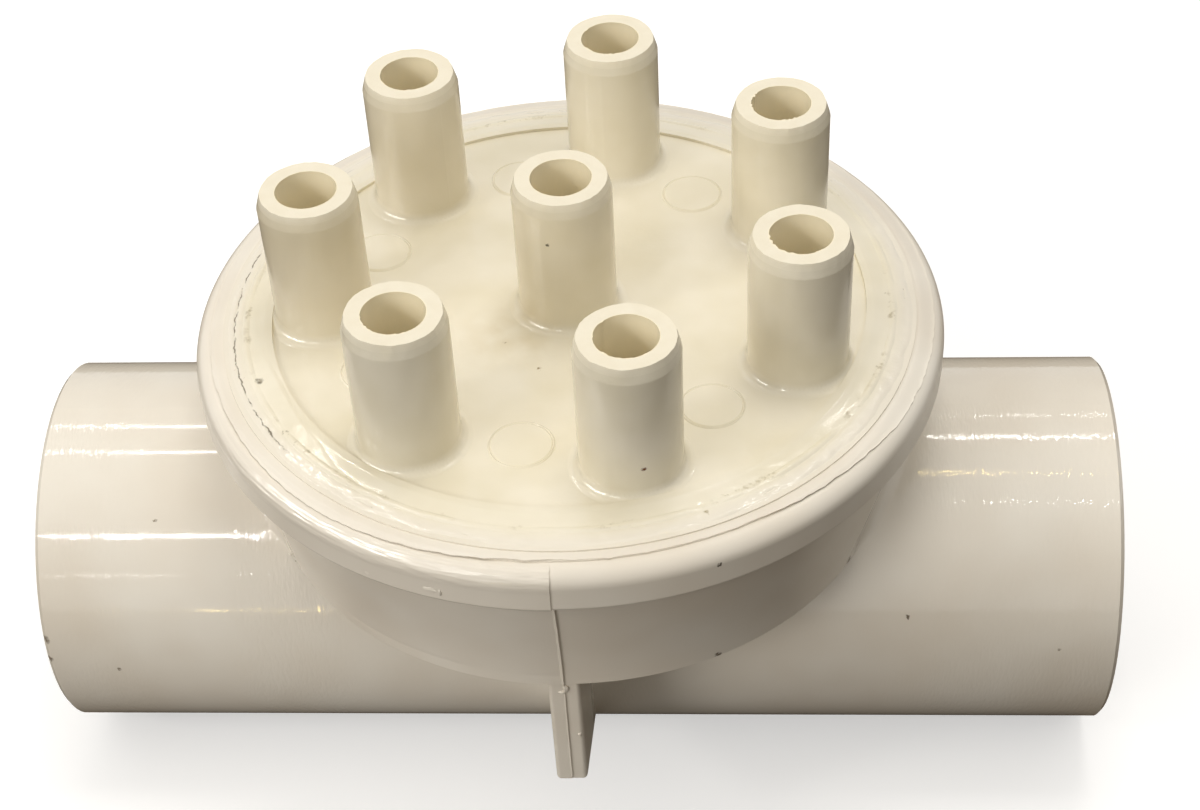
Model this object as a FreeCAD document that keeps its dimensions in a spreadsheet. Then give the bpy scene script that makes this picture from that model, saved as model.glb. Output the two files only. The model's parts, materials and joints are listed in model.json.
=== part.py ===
import FreeCAD, Part
import math
import os
import Sketcher

# Pipe manifold for small hoses.
# A straight run with a slip socket at each end carries a round cup on top. A lid with a ring of
# hose spigots and one in the middle is cemented into the cup's rim, so water from the run reaches
# every spigot through the cup. Two gussets brace the cup's overhanging floor against the run.
# Millimetres. The origin is where the run's axis crosses the cup's axis.
# +X runs along the run, +Z points up along the spigots.

SIZES = (
    # The run and its sockets
    ("run_length", 216.4, "straight run, mouth to mouth"),
    ("socket_radius", 30.25, "slip socket for 60.3 mm pipe"),
    ("socket_depth", 38.0, "mouth to pipe stop"),
    ("socket_wall", 7.75, "wall round the sockets"),
    ("stop_width", 2.5, "shoulder that stops the pipe"),
    ("mouth_bevel", 1.2, "lead-in at each mouth"),
    ("run_end_bevel", 0.8, "broken outer edge of each mouth"),
    # The cup on top of the run
    ("bore_cover", 3.15, "floor left above the run's bore"),
    ("cup_floor_thickness", 6.0, "floor of the cup"),
    ("cup_height", 39.6, "underside of the floor to the top of the rim"),
    ("cup_base_radius", 62.7, "outside of the cup at its floor"),
    ("cup_wall", 5.2, "cup wall at the floor"),
    ("cup_base_bevel", 0.5, "broken bottom edge"),
    ("cup_band_height", 2.7, "flared band along the bottom edge"),
    ("cup_band_flare", 0.35, "how far the band stands out of the wall"),
    ("throat_radius", 22.0, "opening from the run's bore into the cup"),
    ("mould_step", 0.25, "how far one mould half stands out past the other"),
    # The rim and the bead round it
    ("rim_bore_radius", 65.4, "recess that takes the lid"),
    ("lid_seat_depth", 6.5, "rim top down to the ledge under the lid"),
    ("lid_seat_width", 2.2, "ledge under the lid"),
    ("land_width", 3.6, "flat land on top of the rim"),
    ("land_step", 0.4, "how far the land stands above the bead"),
    ("bead_shelf", 0.3, "flat between the land and the bead's rounding"),
    ("bead_round", 3.3, "rounding on top of the bead"),
    ("bead_height", 8.6, "rim top down to the bead's underside"),
    ("bead_draft", 0.3, "how far the bead draws in towards its underside"),
    ("bead_overhang", 3.2, "how far the bead stands out over the wall"),
    # The gussets
    ("gusset_thickness", 6.1, "web of each gusset"),
    ("gusset_setback", 0.6, "front edge behind the cup's bottom edge"),
    ("gusset_rake", 2.0, "how far the front edge leans in"),
    ("gusset_drop", 31.5, "cup's underside down to the toe"),
    ("gusset_slope", 0.5, "fall of the lower edge for each millimetre towards the run"),
    ("gusset_edge_round", 0.9, "rounded outer edges of each gusset"),
    # The lid
    ("lid_turn", 3.7, "degrees the lid was turned when it was cemented in"),
    ("lid_clearance", 0.2, "gap round the lid in the rim"),
    ("flange_drop", 0.2, "lid's edge below the top of the rim"),
    ("flange_width", 2.8, "edge of the lid outside its step"),
    ("lid_step", 0.6, "step inside the edge"),
    ("shoulder_width", 3.4, "sloping shoulder inside the step"),
    ("crown_rise", 1.1, "flat crown above the top of the rim"),
    ("web_thickness", 6.5, "lid under its crown"),
    ("skirt_depth", 6.0, "skirt that enters the cup"),
    ("skirt_wall", 3.0, "wall of the skirt"),
    ("skirt_clearance", 0.3, "gap between the skirt and the cup"),
    # The spigots on the lid
    ("port_count", 7, "spigots in the ring"),
    ("port_setback", 18.0, "rim recess in to the ring's circle"),
    ("port_height", 29.4, "crown to the spigot's face"),
    ("port_radius", 9.53, "spigot for a 19 mm hose"),
    ("port_wall", 3.72, "wall of the spigot"),
    ("port_bevel", 0.9, "how far the bevel narrows the face"),
    ("port_bevel_height", 2.8, "height of the bevel"),
    ("port_root_bevel", 1.2, "bevelled foot of the spigot"),
)

# How near a point counts as lying on a surface
TOUCH = 0.01

# Corners of the bead's rounding, in degrees from its side up to its crown
BEAD_CORNERS = (0, 30, 60, 90)

HALF_RUN = "Sizes.run_length / 2"
RUN_RADIUS = "(Sizes.socket_radius + Sizes.socket_wall)"
RUN_BORE = "(Sizes.socket_radius - Sizes.stop_width)"
SOCKET_END = "(Sizes.run_length / 2 - Sizes.socket_depth)"

CUP_FLOOR = f"({RUN_BORE} + Sizes.bore_cover)"
CUP_BASE = f"({CUP_FLOOR} - Sizes.cup_floor_thickness)"
RIM_TOP = f"({CUP_BASE} + Sizes.cup_height)"
LAND_EDGE = "(Sizes.rim_bore_radius + Sizes.land_width)"
BEAD_CROWN = f"({RIM_TOP} - Sizes.land_step)"
BEAD_TURN = f"({LAND_EDGE} + Sizes.bead_shelf)"
BEAD_RADIUS = f"({BEAD_TURN} + Sizes.bead_round)"
BEAD_UNDERSIDE = f"({RIM_TOP} - Sizes.bead_height)"
LID_SEAT = f"({RIM_TOP} - Sizes.lid_seat_depth)"
CUP_BORE_BASE = "(Sizes.cup_base_radius - Sizes.cup_wall)"
CUP_BORE_TOP = "(Sizes.rim_bore_radius - Sizes.lid_seat_width)"

LID_RADIUS = "(Sizes.rim_bore_radius - Sizes.lid_clearance)"
FLANGE_TOP = f"({RIM_TOP} - Sizes.flange_drop)"
STEP_RADIUS = f"({LID_RADIUS} - Sizes.flange_width)"
STEP_TOP = f"({FLANGE_TOP} + Sizes.lid_step)"
CROWN_RADIUS = f"({STEP_RADIUS} - Sizes.shoulder_width)"
CROWN = f"({RIM_TOP} + Sizes.crown_rise)"
WEB_UNDERSIDE = f"({CROWN} - Sizes.web_thickness)"
SKIRT_FOOT = f"({LID_SEAT} - Sizes.skirt_depth)"
SKIRT_RADIUS = f"({CUP_BORE_TOP} - Sizes.skirt_clearance)"
CUP_TAPER = f"(({CUP_BORE_TOP} - {CUP_BORE_BASE}) / ({LID_SEAT} - {CUP_FLOOR}))"
SKIRT_FOOT_RADIUS = f"({SKIRT_RADIUS} - {CUP_TAPER} * Sizes.skirt_depth)"

PORT_RING = "(Sizes.rim_bore_radius - Sizes.port_setback)"
PORT_TOP = f"({CROWN} + Sizes.port_height)"
PORT_BORE = "(Sizes.port_radius - Sizes.port_wall)"


def make_sheet(doc):
    """Put every driving size in a named cell."""
    sheet = doc.addObject("Spreadsheet::Sheet", "Sizes")
    for row, (name, value, note) in enumerate(SIZES, start=1):
        sheet.set(f"A{row}", name)
        sheet.set(f"B{row}", str(value))
        sheet.set(f"C{row}", note)
        sheet.setAlias(f"B{row}", name)
    doc.recompute()
    return sheet


def origin_feature(body, role):
    """One of the body's own planes or axes."""
    return next(f for f in body.Origin.OriginFeatures if f.Role == role)


def new_body(doc, label):
    body = doc.addObject("PartDesign::Body", label)
    body.Label = label
    return body


def new_sketch(body, name, plane):
    sketch = body.newObject("Sketcher::SketchObject", name)
    sketch.AttachmentSupport = (origin_feature(body, plane), [""])
    sketch.MapMode = "FlatFace"
    return sketch


def corner(across, up):
    """A corner of an outline, as formulas."""
    return across, up


def place_point(sketch, geometry, end, across, up):
    """Tie a point of the sketch to its two formulas, or to an axis where a formula is 0."""
    for kind, axis, formula in (("DistanceX", -2, across), ("DistanceY", -1, up)):
        if formula == "0":
            sketch.addConstraint(Sketcher.Constraint("PointOnObject", geometry, end, axis))
            continue
        value = float(sketch.evalExpression(formula))
        index = sketch.addConstraint(Sketcher.Constraint(kind, -1, 1, geometry, end, value))
        sketch.setExpression(f"Constraints[{index}]", formula)


def outline(body, name, plane, corners):
    """Draw a closed outline, anticlockwise, with each corner where its formulas put it."""
    sketch = new_sketch(body, name, plane)
    places = []
    for across, up in corners:
        places.append(FreeCAD.Vector(float(sketch.evalExpression(across)),
                                     float(sketch.evalExpression(up)), 0))
    sides = []
    for index, start in enumerate(places):
        end = places[(index + 1) % len(places)]
        sides.append(sketch.addGeometry(Part.LineSegment(start, end), False))
    for index, geometry in enumerate(sides):
        following = sides[(index + 1) % len(sides)]
        sketch.addConstraint(Sketcher.Constraint("Coincident", geometry, 2, following, 1))
    for geometry, (across, up) in zip(sides, corners):
        place_point(sketch, geometry, 1, across, up)
    return sketch


def turned(body, kind, name, sketch, axis, angle=360):
    """Revolve a sketch about one of its own axes, as a Revolution or a Groove."""
    feature = body.newObject(f"PartDesign::{kind}", name)
    feature.Profile = sketch
    feature.ReferenceAxis = (sketch, [axis])
    feature.Angle = angle
    return feature


def cut(body, name, sketch, axis):
    """Turn a hollow out of the body, and see that it took material away."""
    body.Document.recompute()
    before = body.Shape.Volume
    groove = turned(body, "Groove", name, sketch, axis)
    body.Document.recompute()
    if body.Shape.Volume >= before:
        raise ValueError(f"{name} removed nothing")
    return groove


def bead_rounding(growth):
    """The bead's rounding, drawn in flats to keep the solid light."""
    centre = f"{BEAD_TURN} + {growth}"
    height = f"{BEAD_CROWN} - Sizes.bead_round"
    corners = []
    for angle in BEAD_CORNERS:
        corners.append(corner(f"{centre} + Sizes.bead_round * cos({angle} deg)",
                              f"{height} + Sizes.bead_round * sin({angle} deg)"))
    return corners


def cup_outline(body, name, growth):
    """Section of one mould half of the cup, from its floor up over the bead to the rim's land."""
    base_radius = f"Sizes.cup_base_radius + {growth}"
    waist = f"{base_radius} - Sizes.cup_band_flare"
    bead = f"{BEAD_RADIUS} + {growth}"
    return outline(body, name, "YZ_Plane", [
        corner("0", CUP_BASE),
        corner(f"{base_radius} - Sizes.cup_base_bevel", CUP_BASE),
        corner(base_radius, f"{CUP_BASE} + Sizes.cup_base_bevel"),
        corner(waist, f"{CUP_BASE} + Sizes.cup_band_height"),
        corner(f"{bead} - Sizes.bead_overhang", BEAD_UNDERSIDE),
        corner(f"{bead} - Sizes.bead_draft", BEAD_UNDERSIDE),
        *bead_rounding(growth),
        corner(LAND_EDGE, BEAD_CROWN),
        corner(LAND_EDGE, RIM_TOP),
        corner("0", RIM_TOP),
    ])


def run_outline(body):
    """Half section of the run's outside, about its own axis."""
    shoulder = f"{RUN_RADIUS} - Sizes.run_end_bevel"
    return outline(body, "RunOutline", "XZ_Plane", [
        corner(f"-{HALF_RUN}", "0"),
        corner(HALF_RUN, "0"),
        corner(HALF_RUN, shoulder),
        corner(f"{HALF_RUN} - Sizes.run_end_bevel", RUN_RADIUS),
        corner(f"Sizes.run_end_bevel - {HALF_RUN}", RUN_RADIUS),
        corner(f"-{HALF_RUN}", shoulder),
    ])


def run_hollow(body):
    """Half section of the bore through the run, with a socket and its lead-in at each mouth."""
    mouth = "Sizes.socket_radius + Sizes.mouth_bevel"
    bevel_end = f"{HALF_RUN} - Sizes.mouth_bevel"
    return outline(body, "RunHollow", "XZ_Plane", [
        corner(f"-{HALF_RUN}", "0"),
        corner(HALF_RUN, "0"),
        corner(HALF_RUN, mouth),
        corner(bevel_end, "Sizes.socket_radius"),
        corner(SOCKET_END, "Sizes.socket_radius"),
        corner(SOCKET_END, RUN_BORE),
        corner(f"-{SOCKET_END}", RUN_BORE),
        corner(f"-{SOCKET_END}", "Sizes.socket_radius"),
        corner(f"-({bevel_end})", "Sizes.socket_radius"),
        corner(f"-{HALF_RUN}", mouth),
    ])


def cup_hollow(body):
    """Half section of the throat, the cup's inside and the recess for the lid."""
    return outline(body, "CupHollow", "XZ_Plane", [
        corner("0", "0"),
        corner("Sizes.throat_radius", "0"),
        corner("Sizes.throat_radius", CUP_FLOOR),
        corner(CUP_BORE_BASE, CUP_FLOOR),
        corner(CUP_BORE_TOP, LID_SEAT),
        corner("Sizes.rim_bore_radius", LID_SEAT),
        corner("Sizes.rim_bore_radius", RIM_TOP),
        corner("0", RIM_TOP),
    ])


def gusset_outline(body, name, growth):
    """One mould half of the web between the cup's floor and the run, drawn in to the run's axis."""
    reach = "(Sizes.cup_base_radius - Sizes.gusset_setback)"
    toe = f"({reach} - Sizes.gusset_rake)"
    toe_height = f"({CUP_BASE} - Sizes.gusset_drop)"
    inside_floor = f"{CUP_BASE} + Sizes.cup_floor_thickness / 2"
    return outline(body, name, "YZ_Plane", [
        corner(f"-{reach} - {growth}", inside_floor),
        corner(f"-{reach} - {growth}", CUP_BASE),
        corner(f"-{toe} - {growth}", f"{toe_height} + Sizes.gusset_slope * {growth}"),
        corner("0", f"{toe_height} - Sizes.gusset_slope * {toe}"),
        corner("0", inside_floor),
    ])


def add_gusset_half(body, name, growth, leftward):
    """Half of a gusset's thickness, to one side of the mould's parting plane."""
    half = body.newObject("PartDesign::Pad", name)
    half.Profile = gusset_outline(body, f"{name}Outline", growth)
    half.setExpression("Length", "Sizes.gusset_thickness / 2")
    half.Reversed = leftward
    return half


def round_gussets(body):
    """Round the outer edges of both gussets, between the cup's floor and the run."""
    body.Document.recompute()
    base = body.Tip
    sheet = body.Document.Sizes
    run_radius = float(sheet.evalExpression(RUN_RADIUS))
    cup_base = float(sheet.evalExpression(CUP_BASE))
    half_web = float(sheet.evalExpression("Sizes.gusset_thickness / 2"))
    chosen = []
    for number, edge in enumerate(base.Shape.Edges, start=1):
        middle = edge.valueAt((edge.FirstParameter + edge.LastParameter) / 2)
        beside_web = abs(abs(middle.x) - half_web) < TOUCH
        outside_run = math.hypot(middle.y, middle.z) > run_radius + TOUCH
        if beside_web and outside_run and middle.z < cup_base - TOUCH:
            chosen.append(f"Edge{number}")
    rounding = body.newObject("PartDesign::Fillet", "GussetRounding")
    rounding.Base = (base, chosen)
    rounding.setExpression("Radius", "Sizes.gusset_edge_round")
    body.Tip = rounding


def build_manifold_body(doc):
    """The run, the cup, its rim and the gussets, moulded in one piece."""
    body = new_body(doc, "manifold_body")
    turned(body, "Revolution", "Run", run_outline(body), "H_Axis")
    left_half = cup_outline(body, "LeftHalfOutline", "Sizes.mould_step")
    turned(body, "Revolution", "CupLeftHalf", left_half, "V_Axis", 180)
    right_half = cup_outline(body, "RightHalfOutline", "0")
    turned(body, "Revolution", "CupRightHalf", right_half, "V_Axis", 180).Reversed = True

    left_gusset = add_gusset_half(body, "GussetLeft", "Sizes.mould_step", True)
    right_gusset = add_gusset_half(body, "GussetRight", "0", False)
    doc.recompute()
    back_gusset = body.newObject("PartDesign::Mirrored", "BackGusset")
    back_gusset.Originals = [left_gusset, right_gusset]
    back_gusset.MirrorPlane = (origin_feature(body, "XZ_Plane"), [""])
    body.Tip = back_gusset
    round_gussets(body)

    cut(body, "CupInside", cup_hollow(body), "V_Axis")
    cut(body, "RunInside", run_hollow(body), "H_Axis")
    return body


def lid_outline(body):
    """Half section of the lid, from under its web round the skirt, edge and step to the crown."""
    return outline(body, "LidOutline", "XZ_Plane", [
        corner("0", WEB_UNDERSIDE),
        corner(f"{SKIRT_RADIUS} - Sizes.skirt_wall", WEB_UNDERSIDE),
        corner(f"{SKIRT_FOOT_RADIUS} - Sizes.skirt_wall", SKIRT_FOOT),
        corner(SKIRT_FOOT_RADIUS, SKIRT_FOOT),
        corner(SKIRT_RADIUS, LID_SEAT),
        corner(LID_RADIUS, LID_SEAT),
        corner(LID_RADIUS, FLANGE_TOP),
        corner(STEP_RADIUS, FLANGE_TOP),
        corner(STEP_RADIUS, STEP_TOP),
        corner(CROWN_RADIUS, CROWN),
        corner("0", CROWN),
    ])


def port_outline(body, name, axis_place):
    """Half section of a spigot beside its own axis, bevelled at its foot and its face."""
    foot = f"{axis_place} + Sizes.port_radius + Sizes.port_root_bevel"
    wall = f"{axis_place} + Sizes.port_radius"
    inside_web = f"{CROWN} - Sizes.web_thickness / 2"
    return outline(body, name, "XZ_Plane", [
        corner(axis_place, inside_web),
        corner(foot, inside_web),
        corner(foot, CROWN),
        corner(wall, f"{CROWN} + Sizes.port_root_bevel"),
        corner(wall, f"{PORT_TOP} - Sizes.port_bevel_height"),
        corner(f"{wall} - Sizes.port_bevel", PORT_TOP),
        corner(axis_place, PORT_TOP),
    ])


def port_hollow(body, name, axis_place):
    """Half section of a spigot's bore, right through the lid."""
    return outline(body, name, "XZ_Plane", [
        corner(axis_place, WEB_UNDERSIDE),
        corner(f"{axis_place} + {PORT_BORE}", WEB_UNDERSIDE),
        corner(f"{axis_place} + {PORT_BORE}", PORT_TOP),
        corner(axis_place, PORT_TOP),
    ])


def add_port(body, name, axis_place):
    """One bored spigot. Its axis is the outline's last side, which stands over axis_place."""
    solid = port_outline(body, f"{name}Outline", axis_place)
    bore = port_hollow(body, f"{name}Hollow", axis_place)
    axis = "V_Axis"
    if axis_place != "0":
        for sketch in (solid, bore):
            last_side = sketch.GeometryCount - 1
            sketch.addGeometry(sketch.Geometry[last_side], True)
            for end in (1, 2):
                sketch.addConstraint(Sketcher.Constraint("Coincident", last_side + 1, end, last_side, end))
        axis = "Axis0"
    spigot = turned(body, "Revolution", name, solid, axis)
    hole = cut(body, f"{name}Bore", bore, axis)
    return spigot, hole


def ring_of(body, name, features):
    """Repeat features evenly round the lid."""
    body.Document.recompute()
    ring = body.newObject("PartDesign::PolarPattern", name)
    ring.Originals = features
    ring.Axis = (origin_feature(body, "Z_Axis"), [""])
    ring.Angle = 360
    ring.setExpression("Occurrences", "Sizes.port_count")
    body.Tip = ring
    return ring


def build_port_lid(doc):
    """The lid with its spigots, moulded in one piece and turned as it was cemented in."""
    body = new_body(doc, "port_lid")
    turned(body, "Revolution", "Lid", lid_outline(body), "V_Axis")
    add_port(body, "CentrePort", "0")
    spigot, hole = add_port(body, "Port", f"-{PORT_RING}")
    ring_of(body, "PortRing", [spigot, hole])
    body.Placement.Rotation = FreeCAD.Rotation(FreeCAD.Vector(0, 0, 1), 0)
    body.setExpression("Placement.Rotation.Angle", "Sizes.lid_turn * 1 deg")
    return body


def build_cement_bead(doc):
    """The ring of cured cement in the corner between the lid's step and the rim."""
    body = new_body(doc, "cement_bead")
    section = outline(body, "CementOutline", "XZ_Plane", [
        corner(STEP_RADIUS, FLANGE_TOP),
        corner("Sizes.rim_bore_radius", FLANGE_TOP),
        corner("Sizes.rim_bore_radius", RIM_TOP),
        corner(STEP_RADIUS, STEP_TOP),
    ])
    turned(body, "Revolution", "Cement", section, "V_Axis")
    return body


def check(doc, bodies):
    """Stop unless every object recomputed and every sub-part is one valid solid."""
    for item in doc.Objects:
        if "Invalid" in item.State or "Error" in item.State:
            raise ValueError(f"{item.Label} is {item.State}")
    for body in bodies:
        if body.Shape.isNull() or not body.Shape.isValid():
            raise ValueError(f"{body.Label} has no valid shape")
        if len(body.Shape.Solids) != 1:
            raise ValueError(f"{body.Label} has {len(body.Shape.Solids)} solids")


def main():
    doc = FreeCAD.newDocument("PipeManifold")
    make_sheet(doc)
    bodies = [build_manifold_body(doc), build_port_lid(doc), build_cement_bead(doc)]
    doc.recompute()
    check(doc, bodies)
    os.makedirs("parts", exist_ok=True)
    for body in bodies:
        body.Shape.exportStep(f"parts/{body.Label}.step")
        print(body.Label, "volume", round(body.Shape.Volume), "box", body.Shape.BoundBox)


main()
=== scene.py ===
import json
import math
import bmesh
import bpy
from mathutils import Matrix, Vector, noise


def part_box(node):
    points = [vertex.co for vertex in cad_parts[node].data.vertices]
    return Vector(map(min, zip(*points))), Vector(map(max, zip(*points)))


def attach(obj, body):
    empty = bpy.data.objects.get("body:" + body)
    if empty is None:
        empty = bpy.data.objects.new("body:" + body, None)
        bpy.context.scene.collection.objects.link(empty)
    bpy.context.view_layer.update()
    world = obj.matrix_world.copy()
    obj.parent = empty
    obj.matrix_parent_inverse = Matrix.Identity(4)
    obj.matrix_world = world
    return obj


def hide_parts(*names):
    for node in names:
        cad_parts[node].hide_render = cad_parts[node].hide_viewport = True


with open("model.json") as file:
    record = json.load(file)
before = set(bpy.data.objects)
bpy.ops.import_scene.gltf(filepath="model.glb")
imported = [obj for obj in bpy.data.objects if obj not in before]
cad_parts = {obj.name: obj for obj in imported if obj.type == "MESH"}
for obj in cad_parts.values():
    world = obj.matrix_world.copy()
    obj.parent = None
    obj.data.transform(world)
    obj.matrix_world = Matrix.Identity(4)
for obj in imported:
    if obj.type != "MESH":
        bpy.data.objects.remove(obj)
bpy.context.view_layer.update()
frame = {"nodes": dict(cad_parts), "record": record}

# Lengths are millimetres in the part's own frame: +X along the run, +Z up along the spigots.
MM = 0.001

# Camera, fitted to the photograph
CAMERA_PLACE = (29.59, -326.58, 334.41)
CAMERA_YAW = math.radians(4.393)
CAMERA_ELEVATION = math.radians(43.175)
CAMERA_ROLL = math.radians(-3.227)
PHOTO_WIDTH = 1200
PHOTO_HEIGHT = 810
FOCAL_PIXELS = 2173.3
AXIS_PIXEL = (599.8, 444.5)
SENSOR_WIDTH = 36.0
NEAREST_SEEN = 10.0

# Sizes that the frame gives
body_low, body_high = (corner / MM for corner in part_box("manifold_body"))
RUN_RADIUS = -body_low.z
RIM_TOP = body_high.z
SPIGOT_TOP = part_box("port_lid")[1].z / MM
PINS = [mount for mount in frame["record"]["mounts"] if mount["kind"] == "pin"]
SPIGOT_RADIUS = PINS[0]["dims"]["r_mm"]
SPIGOTS = {pin["name"]: Vector(pin["pos_m"][:2]).to_3d() / MM for pin in PINS}

# Sizes of the moulding that the frame doesn't name
CROWN = RIM_TOP + 1.1
CROWN_RADIUS = 59.0
STEP_RADIUS = 62.4
STEP_TOP = RIM_TOP + 0.4
RECESS_RADIUS = 65.4
LAND_EDGE = 69.0
BEAD_TURN = 69.3
BEAD_ROUND = 3.3
BEAD_CROWN = RIM_TOP - 0.4
BEAD_UNDERSIDE = RIM_TOP - 8.6
CUP_BASE = RIM_TOP - 39.6
CUP_BAND_TOP = CUP_BASE + 2.7
CUP_WAIST_RADIUS = 62.35
CUP_NECK_RADIUS = 69.4
MOULD_STEP = 0.25
GUSSET_REACH = 62.1
GUSSET_RAKE = 2.0
GUSSET_DROP = 31.5
SPIGOT_BORE = 5.81
BEVEL_HEIGHT = 2.8
BEVEL_FOOT = SPIGOT_TOP - BEVEL_HEIGHT
BEVEL_WIDTH = 0.9

# Which way the part's faces and mould halves lie
FACES = (("front", -1), ("back", 1))
HALVES = (("left", -1), ("right", 1))


def linear(red, green, blue):
    """A colour given as it looks on screen, 0 to 255, in the linear values that shaders take."""
    channels = []
    for value in (red, green, blue):
        part = value / 255
        channels.append(part / 12.92 if part <= 0.04045 else ((part + 0.055) / 1.055) ** 2.4)
    return (*channels, 1.0)


# Camera, lamps and floor

def add_camera():
    """Stand the camera where the photograph was taken from."""
    back = Vector((math.sin(CAMERA_YAW) * math.cos(CAMERA_ELEVATION),
                   -math.cos(CAMERA_YAW) * math.cos(CAMERA_ELEVATION),
                   math.sin(CAMERA_ELEVATION)))
    level_right = (-back).cross(Vector((0, 0, 1))).normalized()
    level_up = level_right.cross(-back)
    right = math.cos(CAMERA_ROLL) * level_right + math.sin(CAMERA_ROLL) * level_up
    up = math.cos(CAMERA_ROLL) * level_up - math.sin(CAMERA_ROLL) * level_right
    bpy.ops.object.camera_add()
    camera = bpy.context.object
    camera.name = "camera"
    turn = Matrix((right, up, back)).transposed().to_4x4()
    camera.matrix_world = Matrix.Translation(Vector(CAMERA_PLACE) * MM) @ turn
    lens = camera.data
    lens.sensor_fit = "HORIZONTAL"
    lens.sensor_width = SENSOR_WIDTH
    lens.lens = FOCAL_PIXELS / PHOTO_WIDTH * SENSOR_WIDTH
    lens.shift_x = (PHOTO_WIDTH / 2 - AXIS_PIXEL[0]) / PHOTO_WIDTH
    lens.shift_y = (AXIS_PIXEL[1] - PHOTO_HEIGHT / 2) / PHOTO_WIDTH
    lens.clip_start = NEAREST_SEEN * MM
    bpy.context.scene.camera = camera


def add_lamp(name, place, aim, width, depth, power, colour):
    """A rectangular studio lamp at place, facing aim."""
    bpy.ops.object.light_add(type="AREA")
    lamp = bpy.context.object
    lamp.name = name
    lamp.data.shape = "RECTANGLE"
    lamp.data.size = width * MM
    lamp.data.size_y = depth * MM
    lamp.data.energy = power
    lamp.data.color = colour[:3]
    away = (Vector(place) - Vector(aim)).normalized()
    side = Vector((1, 0, 0))
    side = (side - side.dot(away) * away).normalized()
    turn = Matrix((side, away.cross(side), away)).transposed().to_4x4()
    lamp.matrix_world = Matrix.Translation(Vector(place) * MM) @ turn
    lamp.visible_camera = False
    return lamp


# Narrow lamps that draw the bright lines along the run. Each has its direction round the run in
# degrees, from the front over the top, the stretch of the run that mirrors it, its brightness and colour.
STRIP_DISTANCE = 700.0
STRIP_DEPTH = 6.0
COOL_LAMP = (255, 253, 248)
WARM_LAMP = (255, 226, 140)
STRIPS = (
    ("strip_left_back", 121, -108, -62, 110, COOL_LAMP),
    ("strip_left_top", 101, -106, -62, 100, COOL_LAMP),
    ("strip_left_front", 46, -106, -56, 260, COOL_LAMP),
    ("strip_left_low", 21, -102, -85, 40, COOL_LAMP),
    ("strip_left_warm", -2, -73, -49, 60, WARM_LAMP),
    ("strip_right_back", 127, 84, 108, 45, COOL_LAMP),
    ("strip_right_top", 110, 70, 108, 150, COOL_LAMP),
    ("strip_right_warm", 85, 68, 88, 90, WARM_LAMP),
    ("strip_right_front", 66, 91, 103, 70, COOL_LAMP),
)


def add_strips():
    """Hang each narrow lamp where the run mirrors it to the camera."""
    for name, direction, start, end, radiance, colour in STRIPS:
        angle = math.radians(direction)
        facing = Vector((0, -math.cos(angle), math.sin(angle)))
        normal_angle = (angle + CAMERA_ELEVATION) / 2
        mirror = Vector((0, -math.cos(normal_angle), math.sin(normal_angle))) * RUN_RADIUS
        to_camera = Vector(CAMERA_PLACE) - mirror
        to_camera.x = 0
        reach = STRIP_DISTANCE / to_camera.length
        ends = [x + (x - CAMERA_PLACE[0]) * reach for x in (start, end)]
        width = ends[1] - ends[0]
        power = radiance * math.pi * width * STRIP_DEPTH * MM * MM
        place = mirror + facing * STRIP_DISTANCE + Vector((sum(ends) / 2, 0, 0))
        aim = mirror + Vector(((start + end) / 2, 0, 0))
        strip = add_lamp(name, place, aim, width, STRIP_DEPTH, power, linear(*colour))
        strip.visible_diffuse = False


LAMP_AIM = Vector((0, 0, 40))
LAMP_DISTANCE = 1400.0
LAMP_COLOUR = (255, 252, 247)
# Soft lamps: direction round the part and height in degrees, width and power
SOFT_LAMPS = (
    ("left_lamp", -150, 33, 190, 2.2),
    ("front_left_lamp", -130, 21, 500, 4.8),
    ("overhead_lamp", 60, 80, 500, 5.5),
)
# Lamps that show only as glints, on the feet of the spigots, the cement and the bead
GLINTS = (("glint_far_left", -172, 28), ("glint_left", -158, 33), ("glint_near_left", -145, 38))
GLINT_WIDTH = 190
GLINT_DEPTH = 300
GLINT_POWER = 5.4
# A small card near the floor in front of the part that lifts the cup's low shadow
CARD_PLACE = Vector((-62, -128, -18))
CARD_AIM = Vector((-26, -56, 30))
CARD_WIDTH = 90
CARD_DEPTH = 40
CARD_POWER = 0.014


def add_soft_lamp(name, turn, height, width, depth, power):
    """A lamp that faces the part from a direction round it and a height, both in degrees."""
    around = math.radians(turn)
    upward = math.radians(height)
    away = Vector((math.cos(around) * math.cos(upward),
                   math.sin(around) * math.cos(upward),
                   math.sin(upward)))
    place = LAMP_AIM + away * LAMP_DISTANCE
    return add_lamp(name, place, LAMP_AIM, width, depth, power, linear(*LAMP_COLOUR))


def add_light():
    """Soft lamps round the part, and small and narrow ones that its gloss mirrors."""
    for name, turn, height, width, power in SOFT_LAMPS:
        add_soft_lamp(name, turn, height, width, width, power).visible_glossy = False
    card = add_lamp("front_card", CARD_PLACE, CARD_AIM, CARD_WIDTH, CARD_DEPTH, CARD_POWER,
                    linear(*LAMP_COLOUR))
    card.visible_glossy = False
    for name, turn, height in GLINTS:
        glint = add_soft_lamp(name, turn, height, GLINT_WIDTH, GLINT_DEPTH, GLINT_POWER)
        glint.visible_diffuse = False
    add_strips()


def add_node(tree, kind, **settings):
    """Add a node to a tree, with its settings."""
    node = tree.nodes.new(kind)
    for name, value in settings.items():
        setattr(node, name, value)
    return node


def seen_in_picture(tree):
    """1 for what the eye, a mirror or glass looks at, and 0 for what only lights the part."""
    path = add_node(tree, "ShaderNodeLightPath")
    seen = path.outputs["Is Camera Ray"]
    for ray in ("Is Glossy Ray", "Is Transmission Ray"):
        either = add_node(tree, "ShaderNodeMath", operation="MAXIMUM")
        tree.links.new(seen, either.inputs[0])
        tree.links.new(path.outputs[ray], either.inputs[1])
        seen = either.outputs[0]
    return seen


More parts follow.
